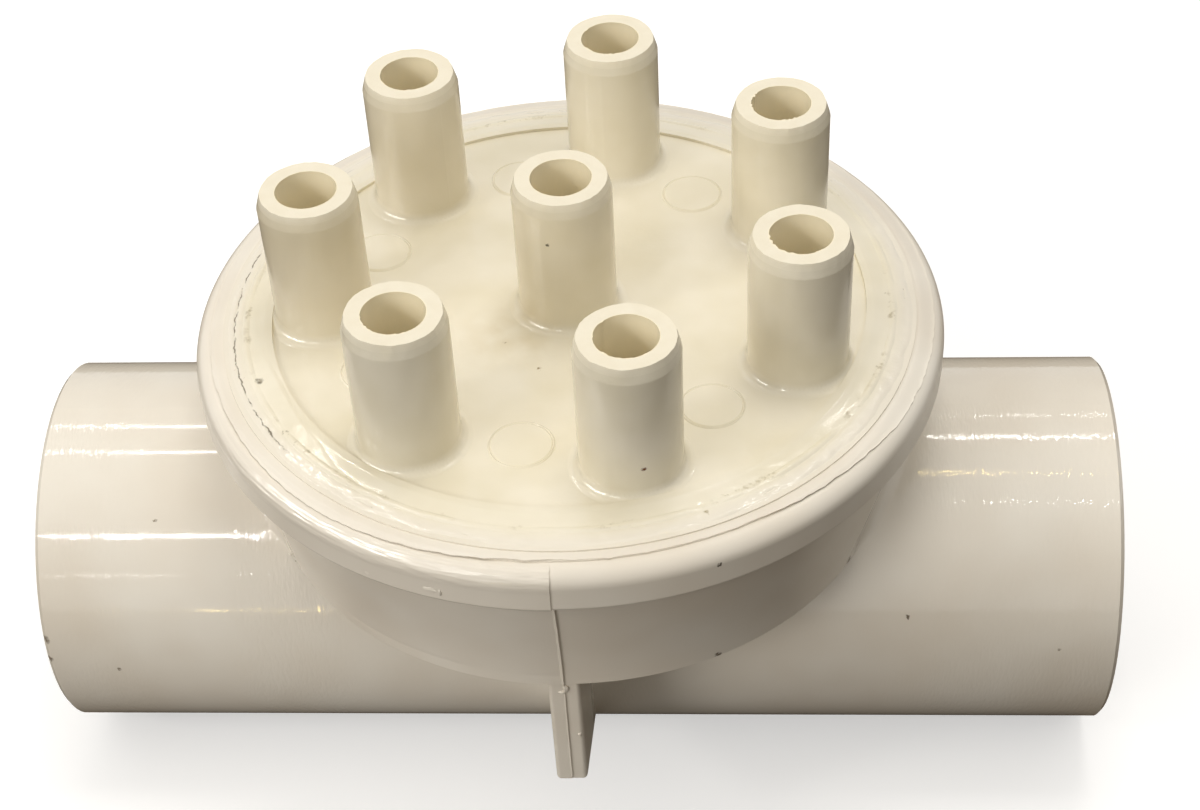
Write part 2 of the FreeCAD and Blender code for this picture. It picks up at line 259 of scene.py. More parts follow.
def choose(tree, factor, first, second, output):
    """Send one of two shaders to the output."""
    choice = add_node(tree, "ShaderNodeMixShader")
    tree.links.new(factor, choice.inputs[0])
    tree.links.new(first, choice.inputs[1])
    tree.links.new(second, choice.inputs[2])
    tree.links.new(choice.outputs[0], output)


SKY_COLOUR = (255, 251, 244)
SKY_STRENGTH = 0.96
WHITE = (1, 1, 1, 1)


def add_sky():
    """A pale sky, bright overhead and dim at the horizon, that looks white."""
    world = bpy.data.worlds.new("sky")
    bpy.context.scene.world = world
    world.use_nodes = True
    tree = world.node_tree
    dome = tree.nodes["Background"]
    dome.inputs["Color"].default_value = linear(*SKY_COLOUR)
    parts = add_node(tree, "ShaderNodeSeparateXYZ")
    tree.links.new(add_node(tree, "ShaderNodeTexCoord").outputs["Generated"], parts.inputs[0])
    height = add_node(tree, "ShaderNodeMapRange")
    height.inputs["To Max"].default_value = SKY_STRENGTH
    tree.links.new(parts.outputs["Z"], height.inputs["Value"])
    tree.links.new(height.outputs["Result"], dome.inputs["Strength"])
    white = add_node(tree, "ShaderNodeBackground")
    white.inputs["Color"].default_value = WHITE
    output = tree.nodes["World Output"].inputs["Surface"]
    choose(tree, seen_in_picture(tree), dome.outputs[0], white.outputs[0], output)


FLOOR_SIZE = 8000
PAPER_COLOUR = (0.72, 0.72, 0.72, 1)
PAPER_GLOW = 0.44
BOUNCE_COLOUR = (0.05, 0.036, 0.022, 1)
FLAG_SIZE = 3000
FLAG_LIFT = 0.5
FLAG_COLOUR = (0.12, 0.09, 0.06, 1)


def add_floor():
    """A plain floor under the run: white to the eye, and a dim warm bounce on the part's underside."""
    bpy.ops.mesh.primitive_plane_add(size=FLOOR_SIZE * MM, location=(0, 0, -RUN_RADIUS * MM))
    floor = bpy.context.object
    floor.name = "floor"
    material = bpy.data.materials.new("floor_paper")
    material.use_nodes = True
    tree = material.node_tree
    tree.nodes.clear()
    output = add_node(tree, "ShaderNodeOutputMaterial").inputs["Surface"]
    paper = add_node(tree, "ShaderNodeBsdfDiffuse")
    paper.inputs["Color"].default_value = PAPER_COLOUR
    glow = add_node(tree, "ShaderNodeEmission")
    glow.inputs["Strength"].default_value = PAPER_GLOW
    sheet = add_node(tree, "ShaderNodeAddShader")
    tree.links.new(paper.outputs[0], sheet.inputs[0])
    tree.links.new(glow.outputs[0], sheet.inputs[1])
    bounce = add_node(tree, "ShaderNodeBsdfDiffuse")
    bounce.inputs["Color"].default_value = BOUNCE_COLOUR
    choose(tree, seen_in_picture(tree), bounce.outputs[0], sheet.outputs[0], output)
    floor.data.materials.append(material)


def add_flag():
    """A dark card low round the part, seen only in its gloss, that gives the plastic its depth."""
    bpy.ops.mesh.primitive_plane_add(size=FLAG_SIZE * MM, location=(0, 0, (FLAG_LIFT - RUN_RADIUS) * MM))
    flag = bpy.context.object
    flag.name = "dark_flag"
    material = bpy.data.materials.new("flag_cloth")
    material.use_nodes = True
    cloth = material.node_tree.nodes["Principled BSDF"]
    cloth.inputs["Base Color"].default_value = FLAG_COLOUR
    cloth.inputs["Roughness"].default_value = 1.0
    cloth.inputs["Specular IOR Level"].default_value = 0.0
    flag.data.materials.append(material)
    flag.visible_camera = False
    flag.visible_diffuse = False
    flag.visible_transmission = False
    flag.visible_shadow = False


# Materials

# Directions that count for a distance from the cup's axis and from the run's axis
ROUND_CUP = (1, 1, 0)
ROUND_RUN = (0, 1, 1)
# Edges of small marks: the size of their rag and how far it moves them
RAG_SIZE = 0.9
RAG_REACH = 1.6
# How far outside a spigot's bore the bore's colour begins to fade and ends, and a distance past them all
BORE_FADE_START = 0.02
BORE_FADE_END = 0.3
FAR_AWAY = 1000.0


class Finish:
    """A material while it is made: its node tree, its shader and the place that its patterns read."""

    def __init__(self, name):
        self.material = bpy.data.materials.new(name)
        self.material.use_nodes = True
        self.tree = self.material.node_tree
        self.shader = self.tree.nodes["Principled BSDF"]
        self.place = self.node("ShaderNodeTexCoord").outputs["Object"]

    def node(self, kind, **settings):
        """Add a node of a kind, with its settings."""
        return add_node(self.tree, kind, **settings)

    def set(self, **values):
        """Set the shader's own sockets, with a space for each underscore."""
        for name, value in values.items():
            self.shader.inputs[name.replace("_", " ")].default_value = value

    def feed(self, **patterns):
        """Link patterns to the shader's own sockets, with a space for each underscore."""
        for name, pattern in patterns.items():
            self.link(pattern, self.shader.inputs[name.replace("_", " ")])

    def link(self, source, target):
        """Join an output to an input."""
        self.tree.links.new(source, target)

    def stretched(self, across, along, up):
        """The place in pattern sizes, in millimetres along each axis."""
        mapping = self.node("ShaderNodeMapping")
        mapping.inputs["Scale"].default_value = (1 / (across * MM), 1 / (along * MM), 1 / (up * MM))
        self.link(self.place, mapping.inputs["Vector"])
        return mapping.outputs["Vector"]

    def cloud(self, size, detail=2.0, rough=0.5):
        """Soft noise with features of a size in millimetres, or along a stretched place."""
        texture = self.node("ShaderNodeTexNoise")
        texture.inputs["Detail"].default_value = detail
        texture.inputs["Roughness"].default_value = rough
        if isinstance(size, (int, float)):
            texture.inputs["Scale"].default_value = 1 / (size * MM)
            self.link(self.place, texture.inputs["Vector"])
        else:
            texture.inputs["Scale"].default_value = 1.0
            self.link(size, texture.inputs["Vector"])
        return texture.outputs[0]

    def range(self, value, low, high, start=0.0, end=1.0):
        """Spread a value between low and high over start to end."""
        node = self.node("ShaderNodeMapRange")
        node.inputs["From Min"].default_value = low
        node.inputs["From Max"].default_value = high
        node.inputs["To Min"].default_value = start
        node.inputs["To Max"].default_value = end
        self.link(value, node.inputs["Value"])
        return node.outputs["Result"]

    def math(self, operation, first, second):
        """One step of arithmetic on two values, each a number or an output."""
        node = self.node("ShaderNodeMath", operation=operation)
        for socket, value in zip(node.inputs, (first, second)):
            if isinstance(value, (int, float)):
                socket.default_value = value
            else:
                self.link(value, socket)
        return node.outputs[0]

    def times(self, first, second):
        """Two values multiplied."""
        return self.math("MULTIPLY", first, second)

    def mix(self, factor, first, second):
        """Two colours, each a value or another mix, blended by a factor."""
        node = self.node("ShaderNodeMix", data_type="RGBA")
        self.link(factor, node.inputs[0])
        for socket, colour in ((node.inputs[6], first), (node.inputs[7], second)):
            if isinstance(colour, tuple):
                socket.default_value = colour
            else:
                self.link(colour, socket)
        return node.outputs[2]

    def distance(self, place, target):
        """Distance of a place from a target that is given in millimetres."""
        node = self.node("ShaderNodeVectorMath", operation="DISTANCE")
        node.inputs[1].default_value = Vector(target) * MM
        self.link(place, node.inputs[0])
        return node.outputs["Value"]

    def near(self, target, inner, outer):
        """1 within inner millimetres of a target, fading to 0 at outer."""
        return self.range(self.distance(self.place, target), inner * MM, outer * MM, 1.0, 0.0)

    def flattened(self, axes):
        """The place with only the directions that count."""
        kept = self.node("ShaderNodeVectorMath", operation="MULTIPLY")
        kept.inputs[1].default_value = axes
        self.link(self.place, kept.inputs[0])
        return kept.outputs[0]

    def reach(self, axes):
        """Distance from an axis: axes keeps the directions that count."""
        length = self.node("ShaderNodeVectorMath", operation="LENGTH")
        self.link(self.flattened(axes), length.inputs[0])
        return length.outputs["Value"]

    def ring(self, inner, outer, fade, rag):
        """1 between two radii round the cup's axis, fading out beside them, with edges that waver."""
        waver = self.range(self.cloud(1.8), 0.0, 1.0, -rag * MM, rag * MM)
        radius = self.math("ADD", self.reach(ROUND_CUP), waver)
        inside = self.range(radius, (inner - fade) * MM, inner * MM)
        outside = self.range(radius, outer * MM, (outer + fade) * MM, 1.0, 0.0)
        return self.times(inside, outside)

    def spots(self, colour, places):
        """Lay small ragged marks on a colour, each with its place, its size and its own colour."""
        smooth_place = self.place
        rag = self.node("ShaderNodeTexNoise")
        rag.inputs["Scale"].default_value = 1 / (RAG_SIZE * MM)
        self.link(self.place, rag.inputs["Vector"])
        moved = self.node("ShaderNodeVectorMath", operation="MULTIPLY_ADD")
        moved.inputs[1].default_value = (RAG_REACH * MM,) * 3
        self.link(rag.outputs["Color"], moved.inputs[0])
        self.link(self.place, moved.inputs[2])
        self.place = moved.outputs[0]
        for place, size, tint in places:
            middle = Vector(place) + Vector((RAG_REACH / 2,) * 3)
            colour = self.mix(self.near(middle, size * 0.4, size), colour, linear(*tint))
        self.place = smooth_place
        return colour

    def outside_bores(self):
        """0 inside the spigots' bores and 1 everywhere else."""
        flat = self.flattened(ROUND_CUP)
        nearest = FAR_AWAY * MM
        for axis in SPIGOTS.values():
            nearest = self.math("MINIMUM", self.distance(flat, axis), nearest)
        start = (SPIGOT_BORE + BORE_FADE_START) * MM
        end = (SPIGOT_BORE + BORE_FADE_END) * MM
        return self.range(nearest, start, end)

    def axis(self, name):
        """The place along one axis."""
        parts = self.node("ShaderNodeSeparateXYZ")
        self.link(self.place, parts.inputs[0])
        return parts.outputs[name]

    def along_run(self, start, end, before, after):
        """A value along the run: before up to start, and after from end on."""
        return self.range(self.axis("X"), start * MM, end * MM, before, after)

    def height_above(self, low, high):
        """0 below one height on the part and 1 above another."""
        return self.range(self.axis("Z"), low * MM, high * MM)

    def bump(self, height, depth):
        """Relief of a depth in millimetres."""
        node = self.node("ShaderNodeBump")
        node.inputs["Distance"].default_value = depth * MM
        self.link(height, node.inputs["Height"])
        self.link(node.outputs["Normal"], self.shader.inputs["Normal"])


# Marks on the moulding, one of them painted shade: place, size and colour
RUN_MARKS = (
    ((-83.6, -24.2, 29.3), 0.5, (150, 138, 118)),
    ((-93.8, -38.0, 0.2), 0.6, (150, 138, 120)),
    ((-54.8, -29.7, 23.7), 0.5, (140, 128, 110)),
    ((66.3, -35.5, 13.5), 0.5, (120, 108, 92)),
    ((96.5, -37.5, 6.0), 0.6, (160, 148, 130)),
    ((-107.9, -37.1, 8.1), 1.2, (130, 118, 102)),
    ((-107.9, -37.8, 3.0), 1.0, (140, 128, 112)),
    ((29.3, -66.4, 61.1), 0.6, (60, 48, 36)),
    # Painted shade in the corner where the cup's base meets the run at the right
    ((54.3, -31.4, 25.2), 1.2, (120, 108, 92)),
    ((28.8, -55.7, 25.2), 0.9, (110, 98, 84)),
)
LID_MARKS = (
    ((16.1, -54.6, 72.4), 0.6, (112, 66, 38)),
    ((-2.5, -9.2, 86.5), 0.4, (70, 62, 48)),
    ((8.7, -53.9, 66.2), 0.45, (170, 156, 126)),
    ((-4.6, -20.1, 65.6), 0.5, (160, 142, 108)),
    ((-57.1, -23.3, 65.4), 0.7, (88, 74, 42)),
    ((6.6, -59.0, 65.4), 0.4, (150, 136, 104)),
    ((-11.5, -12.5, 65.6), 0.4, (150, 132, 98)),
)
CEMENT_MARKS = (
    ((-62.4, -19.0, 64.5), 1.0, (166, 112, 70)),
    ((-57.1, -23.3, 65.3), 1.1, (88, 74, 42)),
    ((-60.2, -22.6, 64.8), 0.6, (130, 114, 84)),
    # These five spots along the ridge over the lid's step are dirt and painted shadow
    ((-50.4, -37.3, 65.2), 0.8, (140, 126, 96)),
    ((-49.3, -38.7, 65.2), 0.7, (140, 126, 96)),
    ((-47.9, -40.2, 65.2), 0.8, (146, 132, 100)),
    ((-46.5, -41.4, 65.2), 0.7, (150, 136, 104)),
    ((-45.1, -42.9, 65.2), 0.7, (156, 142, 110)),
    ((27.0, -58.1, 64.9), 0.8, (170, 156, 122)),
    ((60.8, 6.5, 65.1), 0.6, (150, 138, 106)),
    ((61.4, 1.2, 65.1), 0.7, (158, 148, 112)),
    ((62.3, -5.6, 65.0), 0.8, (110, 100, 78)),
    ((60.4, -9.8, 65.2), 0.6, (160, 148, 116)),
)

# White plastic: its colours, where the run's gloss ends, and its roughness on the run and elsewhere
WHITE_PALE = linear(238, 232, 220)
WHITE_DEEP = linear(229, 220, 205)
RUN_GLOSS_END = 39.5
CUP_GLOSS_START = 42.0
RUN_ROUGHNESS = 0.065
CUP_ROUGHNESS = 0.3
# Flow lines in it: a start and an end along the run, and their strength before and after
LEFT_END_FLOW = (-93, -84, 0.5, 0.1)
CUP_SIDE_FLOW_RISE = (-72, -66, 0.0, 0.6)
CUP_SIDE_FLOW_FALL = (-50, -44, 1.0, 0.3)
RIGHT_SIDE_FLOW = (62, 72, 0.0, 0.42)
FLOW_DEPTH = 0.13


def white_plastic():
    """White moulded plastic: glossy on the run, with flow lines at its ends and beside the cup."""
    finish = Finish("white_plastic")
    finish.set(Specular_IOR_Level=0.35)
    colour = finish.mix(finish.range(finish.cloud(26.0), 0.3, 0.7), WHITE_PALE, WHITE_DEEP)
    on_run = finish.range(finish.reach(ROUND_RUN), RUN_GLOSS_END * MM, CUP_GLOSS_START * MM, 1.0, 0.0)
    gloss = finish.range(on_run, 0.0, 1.0, CUP_ROUGHNESS, RUN_ROUGHNESS)
    worn = finish.range(finish.cloud(9.0), 0.3, 0.7, -0.015, 0.03)
    finish.feed(Base_Color=finish.spots(colour, RUN_MARKS), Roughness=finish.math("ADD", gloss, worn))
    flow = finish.math("SUBTRACT", finish.cloud(finish.stretched(0.6, 2.2, 2.2), 1.0, 0.5), 0.5)
    beside_cup = finish.times(finish.along_run(*CUP_SIDE_FLOW_RISE), finish.along_run(*CUP_SIDE_FLOW_FALL))
    left_side = finish.math("MAXIMUM", finish.along_run(*LEFT_END_FLOW), beside_cup)
    rough = finish.math("MAXIMUM", left_side, finish.along_run(*RIGHT_SIDE_FLOW))
    strength = finish.times(finish.range(on_run, 0.0, 1.0, 0.12, 1.0), rough)
    finish.bump(finish.times(flow, strength), FLOW_DEPTH)
    return finish.material


# The lid's colours
LID_PALE = linear(240, 233, 214)
LID_DEEP = linear(233, 225, 202)
LID_TAN = linear(217, 203, 170)
LID_BORE = linear(252, 242, 214)
STAIN_PLACE = (-11.0, -10.0, CROWN)
# Spigots that are tanned, with how tanned each is, and the height of the tan's middle
TANNED_SPIGOTS = (("port_1", 0.5), ("port_2", 0.3), ("port_centre", 0.25))
TAN_HEIGHT = 82
LID_WAVE_DEPTH = 0.06


def lid_cream(finish):
    """The lid's two creams, in soft clouds."""
    return finish.mix(finish.range(finish.cloud(14.0), 0.35, 0.65), LID_PALE, LID_DEEP)


def lid_colour(finish):
    """The lid's cream, with a stain in its middle, darker tubes at the left and paler bores."""
    colour = lid_cream(finish)
    blotches = finish.range(finish.cloud(5.0), 0.35, 0.7, 0.1, 0.6)
    stain = finish.times(finish.near(STAIN_PLACE, 3.0, 12.0), blotches)
    colour = finish.mix(stain, colour, LID_TAN)
    for name, share in TANNED_SPIGOTS:
        tube = finish.near(SPIGOTS[name] + Vector((0, 0, TAN_HEIGHT)), 12.0, 22.0)
        colour = finish.mix(finish.times(tube, share), colour, LID_TAN)
    return finish.mix(finish.outside_bores(), LID_BORE, colour)


def cream_plastic():
    """The lid's satin cream plastic, in shallow waves."""
    finish = Finish("cream_plastic")
    finish.set(Specular_IOR_Level=0.45)
    finish.feed(Base_Color=finish.spots(lid_colour(finish), LID_MARKS),
                Roughness=finish.range(finish.cloud(7.0), 0.3, 0.7, 0.12, 0.24))
    finish.bump(finish.cloud(finish.stretched(3.0, 3.0, 9.0), 3.0, 0.55), LID_WAVE_DEPTH)
    return finish.material


# The cut end of a spigot: its colours, and how far up the bevel it begins and covers everything
CUT_PALE = linear(244, 237, 218)
CUT_DEEP = linear(236, 227, 204)
CUT_START = 1.2
CUT_FULL = 2.7
CUT_RELIEF = 0.05


def trimmed_plastic():
    """The lid's plastic where a spigot was cut: plain down the bevel, and pale and matt at the top."""
    finish = Finish("trimmed_plastic")
    finish.set(Specular_IOR_Level=0.4)
    near_top = finish.height_above(BEVEL_FOOT + CUT_START, BEVEL_FOOT + CUT_FULL)
    cut = finish.times(near_top, finish.outside_bores())
    pale = finish.mix(finish.cloud(3.0), CUT_PALE, CUT_DEEP)
    finish.feed(Base_Color=finish.mix(cut, lid_colour(finish), pale),
                Roughness=finish.range(cut, 0.0, 1.0, 0.2, 0.48))
    finish.bump(finish.cloud(0.8, 3.0, 0.6), CUT_RELIEF)
    return finish.material


# Cement: its colours, and the radii at which it is as pale as the lid and as white as the rim
CEMENT_WHITE = linear(236, 229, 214)
# Dirt and painted shadow along the ridge over the lid's step
GRIME_AND_SHADOW_COLOUR = linear(168, 154, 120)
# Painted shade in the shrinkage gap
GAP_SHADE_COLOUR = linear(98, 86, 62)
CEMENT_PALE_END = 62.6
CEMENT_WHITE_START = 65.2
# Rings darkened in it, by dirt with painted shadow along the ridge and by painted shade in the gap: inner
# and outer radius, fade and waver
GRIME_AND_SHADOW_RING = (62.1, 63.0, 0.4, 0.5)
GAP_SHADE_RING = (64.88, 64.98, 0.14, 0.55)
# Where the painted shade in the gap ends: a start and an end along the run, and its strength before and
# after
GAP_SHADE_END = (-53, -47, 0.9, 0.0)
# Radii between which its relief grows
SMEAR_START = 59.5
SMEAR_FULL = 62.0
SMEAR_RELIEF = 0.06


def cured_cement():
    """Cement, as pale as the lid inside and as white as the rim outside, with dirt and painted shadow along
    its ridge and painted shade in its gap.
    """
    finish = Finish("cured_cement")
    finish.set(Specular_IOR_Level=0.5)
    radius = finish.reach(ROUND_CUP)
    rim_side = finish.range(radius, CEMENT_PALE_END * MM, CEMENT_WHITE_START * MM)
    colour = finish.mix(rim_side, lid_cream(finish), CEMENT_WHITE)
    # Dirt and painted shadow along the ridge over the lid's step
    smears = finish.range(finish.cloud(9.0), 0.5, 0.62)
    grains = finish.range(finish.cloud(1.8, 3.0, 0.6), 0.5, 0.66, 0.0, 0.7)
    grime_and_shadow = finish.times(finish.times(finish.ring(*GRIME_AND_SHADOW_RING), smears), grains)
    colour = finish.mix(grime_and_shadow, colour, GRIME_AND_SHADOW_COLOUR)
    # Painted shade in the shrinkage gap, broken up and fading out along the run
    breaks = finish.range(finish.cloud(2.6, 3.0), 0.4, 0.52)
    broken = finish.times(finish.along_run(*GAP_SHADE_END), breaks)
    gap = finish.times(broken, finish.ring(*GAP_SHADE_RING))
    colour = finish.mix(gap, colour, GAP_SHADE_COLOUR)
    finish.feed(Base_Color=finish.spots(colour, CEMENT_MARKS),
                Roughness=finish.range(finish.cloud(4.0), 0.3, 0.7, 0.08, 0.22))
    smeared = finish.range(radius, SMEAR_START * MM, SMEAR_FULL * MM, 0.1, 1.0)
    finish.bump(finish.times(finish.cloud(1.6, 3.0, 0.6), smeared), SMEAR_RELIEF)
    return finish.material


# The scraped bead: its colours, its scratches, and the angles and heights between which they fade
SCRAPED_PALE = linear(240, 234, 222)
SCRAPED_DEEP = linear(231, 222, 207)
SCRATCH_WIDTH = 0.8
SCRATCHES_ROUND = 14.0
SCRATCH_DEPTH = 0.16
SCRAPED_LEFT = (-2.75, -2.5)
SCRAPED_FRONT = (-1.4, -0.4)
SCRAPED_LOW = 60.2
SCRAPED_HIGH = 61.6


def scraped_plastic():
    """White plastic that was scraped along the bead, so its gloss is drawn out in fine lines."""
    finish = Finish("scraped_plastic")
    finish.set(Specular_IOR_Level=0.5)
    colour = finish.mix(finish.cloud(20.0), SCRAPED_PALE, SCRAPED_DEEP)
    finish.feed(Base_Color=finish.spots(colour, RUN_MARKS),
                Roughness=finish.range(finish.cloud(6.0), 0.2, 0.8, 0.2, 0.28))
    turn = finish.math("ARCTAN2", finish.axis("Y"), finish.axis("X"))
    lines = finish.node("ShaderNodeCombineXYZ")
    finish.link(finish.times(finish.reach(ROUND_CUP), 1 / (SCRATCH_WIDTH * MM)), lines.inputs[0])
    finish.link(finish.times(turn, SCRATCHES_ROUND), lines.inputs[1])
    finish.link(finish.times(finish.axis("Z"), 1 / (SCRATCH_WIDTH * MM)), lines.inputs[2])
    from_left = finish.range(turn, *SCRAPED_LEFT)
    at_front_left = finish.times(from_left, finish.range(turn, *SCRAPED_FRONT, 1.0, 0.0))
    scraped = finish.times(at_front_left, finish.height_above(SCRAPED_LOW, SCRAPED_HIGH))
    finish.bump(finish.times(finish.cloud(lines.outputs[0], 1.0, 0.5), scraped), SCRATCH_DEPTH)
    return finish.material


# Modelling by hand

SAME_HEIGHT = 0.01


def add_piece(add, name, **sizes):
    """Add a primitive by itself and keep its place in its mesh."""
    bpy.ops.object.select_all(action="DESELECT")
    add(**sizes)
    piece = bpy.context.object
    piece.name = name
    piece.data.name = name
    bpy.ops.object.transform_apply(location=True, rotation=True, scale=True)
    return piece


def select(piece, kind, wanted):
    """In edit mode, select what is wanted of the piece's faces, edges or points, and nothing else."""
    bpy.ops.mesh.select_mode(type=kind)
    bpy.ops.mesh.select_all(action="DESELECT")
    mesh = bmesh.from_edit_mesh(piece.data)
    for item in {"FACE": mesh.faces, "EDGE": mesh.edges, "VERT": mesh.verts}[kind]:
        item.select_set(bool(wanted(item)))
    bmesh.update_edit_mesh(piece.data)


def at_height(item, height):
    """Whether every point of a face or edge lies at a height."""
    return all(abs(vertex.co.z / MM - height) < SAME_HEIGHT for vertex in item.verts)


def upper_cap(face):
    """Whether a face is a round top."""
    return len(face.verts) > 4 and face.normal.z > 0.9


def lower_cap(face):
    """Whether a face is a round bottom."""
    return len(face.verts) > 4 and face.normal.z < -0.9


def cap_radius(piece, cap):
    """Radius of the round face that cap picks."""
    mesh = bmesh.from_edit_mesh(piece.data)
    face = next(face for face in mesh.faces if cap(face))
    return face.verts[0].co.xy.length / MM


def extrude_up(rise):
    """Extrude what is selected upwards."""
    bpy.ops.mesh.extrude_region_move(TRANSFORM_OT_translate={"value": (0, 0, rise * MM)})


def widen(scale):
    """Widen or narrow what is selected round its middle."""
    bpy.ops.transform.resize(value=(scale, scale, 1))


def bore_through(piece, radius):
    """Open a round piece from its upper cap to its lower cap."""
    for cap in (upper_cap, lower_cap):
        width = cap_radius(piece, cap) - radius
        select(piece, "FACE", cap)
        bpy.ops.mesh.inset(thickness=width * MM)
    select(piece, "FACE", lambda face: upper_cap(face) or lower_cap(face))
    bpy.ops.mesh.bridge_edge_loops()


def reshape(piece, rule):
    """Move every point of a piece by a rule of its place."""
    for vertex in piece.data.vertices:
        vertex.co = Vector(rule(vertex.co / MM)) * MM


def apply(piece, kind, **settings):
    """Give the piece a modifier and apply it."""
    bpy.context.view_layer.objects.active = piece
    modifier = piece.modifiers.new(kind.lower(), kind)
    for name, value in settings.items():
        setattr(modifier, name, value)
    bpy.ops.object.modifier_apply(modifier=modifier.name)


def copy_to(piece, name, place):
    """A copy of a piece with its own mesh, moved to a place."""
    copy = piece.copy()
    copy.data = piece.data.copy()
    copy.name = name
    copy.data.name = name
    copy.data.transform(Matrix.Translation(Vector(place) * MM))
    bpy.context.scene.collection.objects.link(copy)
    return copy


def finish_piece(piece, material, crease=40):
    """Smooth a piece up to its creases, give it its material and let it ride on the part."""
    bpy.ops.object.select_all(action="DESELECT")
    bpy.context.view_layer.objects.active = piece
    piece.select_set(True)
    piece.data.materials.clear()
    piece.data.materials.append(material)
    bpy.ops.object.shade_smooth_by_angle(angle=math.radians(crease))
    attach(piece, "root")


def ripple(place, size, seed=0.0):
    """Even noise from -1 to 1 with features of a size, the same on every run."""
    return noise.noise(Vector(place) / size + Vector((seed, seed * 0.37, seed * 0.71)))


def smooth(value):
    """0 below 0, 1 above 1, and an easy rise between them."""
    value = min(1.0, max(0.0, value))
    return value * value * (3 - 2 * value)


def hump(distance, width):
    """1 at no distance, falling away smoothly over a width."""
    return math.exp(-(distance / width) ** 2)


def along(table, angle):
    """Read a value between the rows of a table that runs by angle."""
    for (low, near), (high, far) in zip(table, table[1:]):
        if angle <= high:
            return near + (far - near) * (angle - low) / (high - low)
    return table[-1][1]


def as_share(value):
    """A flat grid's own place, from -1 to 1, as a share from 0 to 1."""
    return (value + 1) / 2


def proud(side):
    """How far a mould half stands out: the left one by the mould step, the right one not at all."""
    return MOULD_STEP if side < 0 else 0.0


def sheet_piece(name, rule, outward, columns, rows, thickness):
    """A skin laid on the part: a grid shaped by a rule, faced outwards and given its thickness."""
    sheet = add_piece(bpy.ops.mesh.primitive_grid_add, name, x_subdivisions=columns, y_subdivisions=rows,
                      size=2 * MM)
    reshape(sheet, rule)
    facing = sum(face.normal.dot(Vector(outward(face.center / MM))) for face in sheet.data.polygons)
    if facing < 0:
        bpy.ops.object.mode_set(mode="EDIT")
        bpy.ops.mesh.select_all(action="SELECT")
        bpy.ops.mesh.flip_normals()
        bpy.ops.object.mode_set(mode="OBJECT")
    apply(sheet, "SOLIDIFY", thickness=thickness * MM, offset=-1)
    return sheet


# Spigots

FOOT_ROUND = 2.1
FOOT_SINK = 0.012
FOOT_MARGIN = 0.02
FOOT_DEPTH = 1.0
FOOT_BORE = SPIGOT_BORE + 1.5
POST_SPARE = 0.4
CORNER_REACH = 0.1


def model_spigot_foot():
    """The soft fillet round the foot of a spigot: a disc with a post on it, rounded in the corner."""
    post = SPIGOT_RADIUS - FOOT_SINK
    wide = post + FOOT_ROUND + FOOT_MARGIN
    level = CROWN - FOOT_SINK

    def in_corner(edge):
        return at_height(edge, level) and edge.verts[0].co.xy.length < (post + CORNER_REACH) * MM

    foot = add_piece(bpy.ops.mesh.primitive_cylinder_add, "spigot_foot", vertices=72, radius=wide * MM,
                     depth=FOOT_DEPTH * MM, location=(0, 0, (level - FOOT_DEPTH / 2) * MM))
    bpy.ops.object.mode_set(mode="EDIT")
    select(foot, "FACE", upper_cap)
    bpy.ops.mesh.inset(thickness=(wide - post) * MM)
    extrude_up(FOOT_ROUND + POST_SPARE)
    select(foot, "EDGE", in_corner)
    bpy.ops.mesh.bevel(offset=FOOT_ROUND * MM, segments=8, affect="EDGES")
    bore_through(foot, FOOT_BORE)
    bpy.ops.object.mode_set(mode="OBJECT")
    return foot


LIP_SINK = 0.03
LIP_PROUD = 0.012
LIP_ROOT = 14.0
LIP_START = BEVEL_FOOT - 0.8
LIP_FACE = 1.0
LIP_BORE = SPIGOT_BORE - 0.03
# Rings up the bevel, as shares of its height, and how much its line bows
LIP_RINGS = (0.06, 0.15, 0.3, 0.5, 0.75, 1.0)
LIP_BOW = 1.12
BURR_DEPTH = 0.5
# How far the burr stands into the bore of each spigot
BURRS = {"port_2": 0.2, "port_3": 0.5, "port_4": 0.65, "port_5": 0.6, "port_6": 0.4, "port_7": 0.25}
LIP_SEED = 13.7


def model_spigot_lip():
    """The hand-trimmed end of a spigot: a sleeve that leaves the tube at the foot of its bevel."""
    radius = SPIGOT_RADIUS - LIP_SINK
    height = LIP_START
    lip = add_piece(bpy.ops.mesh.primitive_cylinder_add, "spigot_lip", vertices=144, radius=radius * MM,
                    depth=LIP_ROOT * MM, location=(0, 0, (height - LIP_ROOT / 2) * MM))
    bpy.ops.object.mode_set(mode="EDIT")
    select(lip, "FACE", upper_cap)
    wide = SPIGOT_RADIUS + LIP_PROUD
    rings = [(BEVEL_FOOT, wide)]
    for share in LIP_RINGS:
        level = BEVEL_FOOT + share * (BEVEL_HEIGHT + LIP_PROUD)
        rings.append((level, wide - share ** LIP_BOW * BEVEL_WIDTH))
    for next_height, next_radius in rings:
        extrude_up(next_height - height)
        widen(next_radius / radius)
        height = next_height
        radius = next_radius
    select(lip, "FACE", upper_cap)
    bpy.ops.mesh.inset(thickness=LIP_FACE * MM)
    bore_through(lip, LIP_BORE)
    bpy.ops.mesh.select_all(action="SELECT")
    bpy.ops.mesh.bisect(plane_co=(0, 0, (SPIGOT_TOP - BURR_DEPTH) * MM), plane_no=(0, 0, 1))
    bpy.ops.object.mode_set(mode="OBJECT")
    return lip


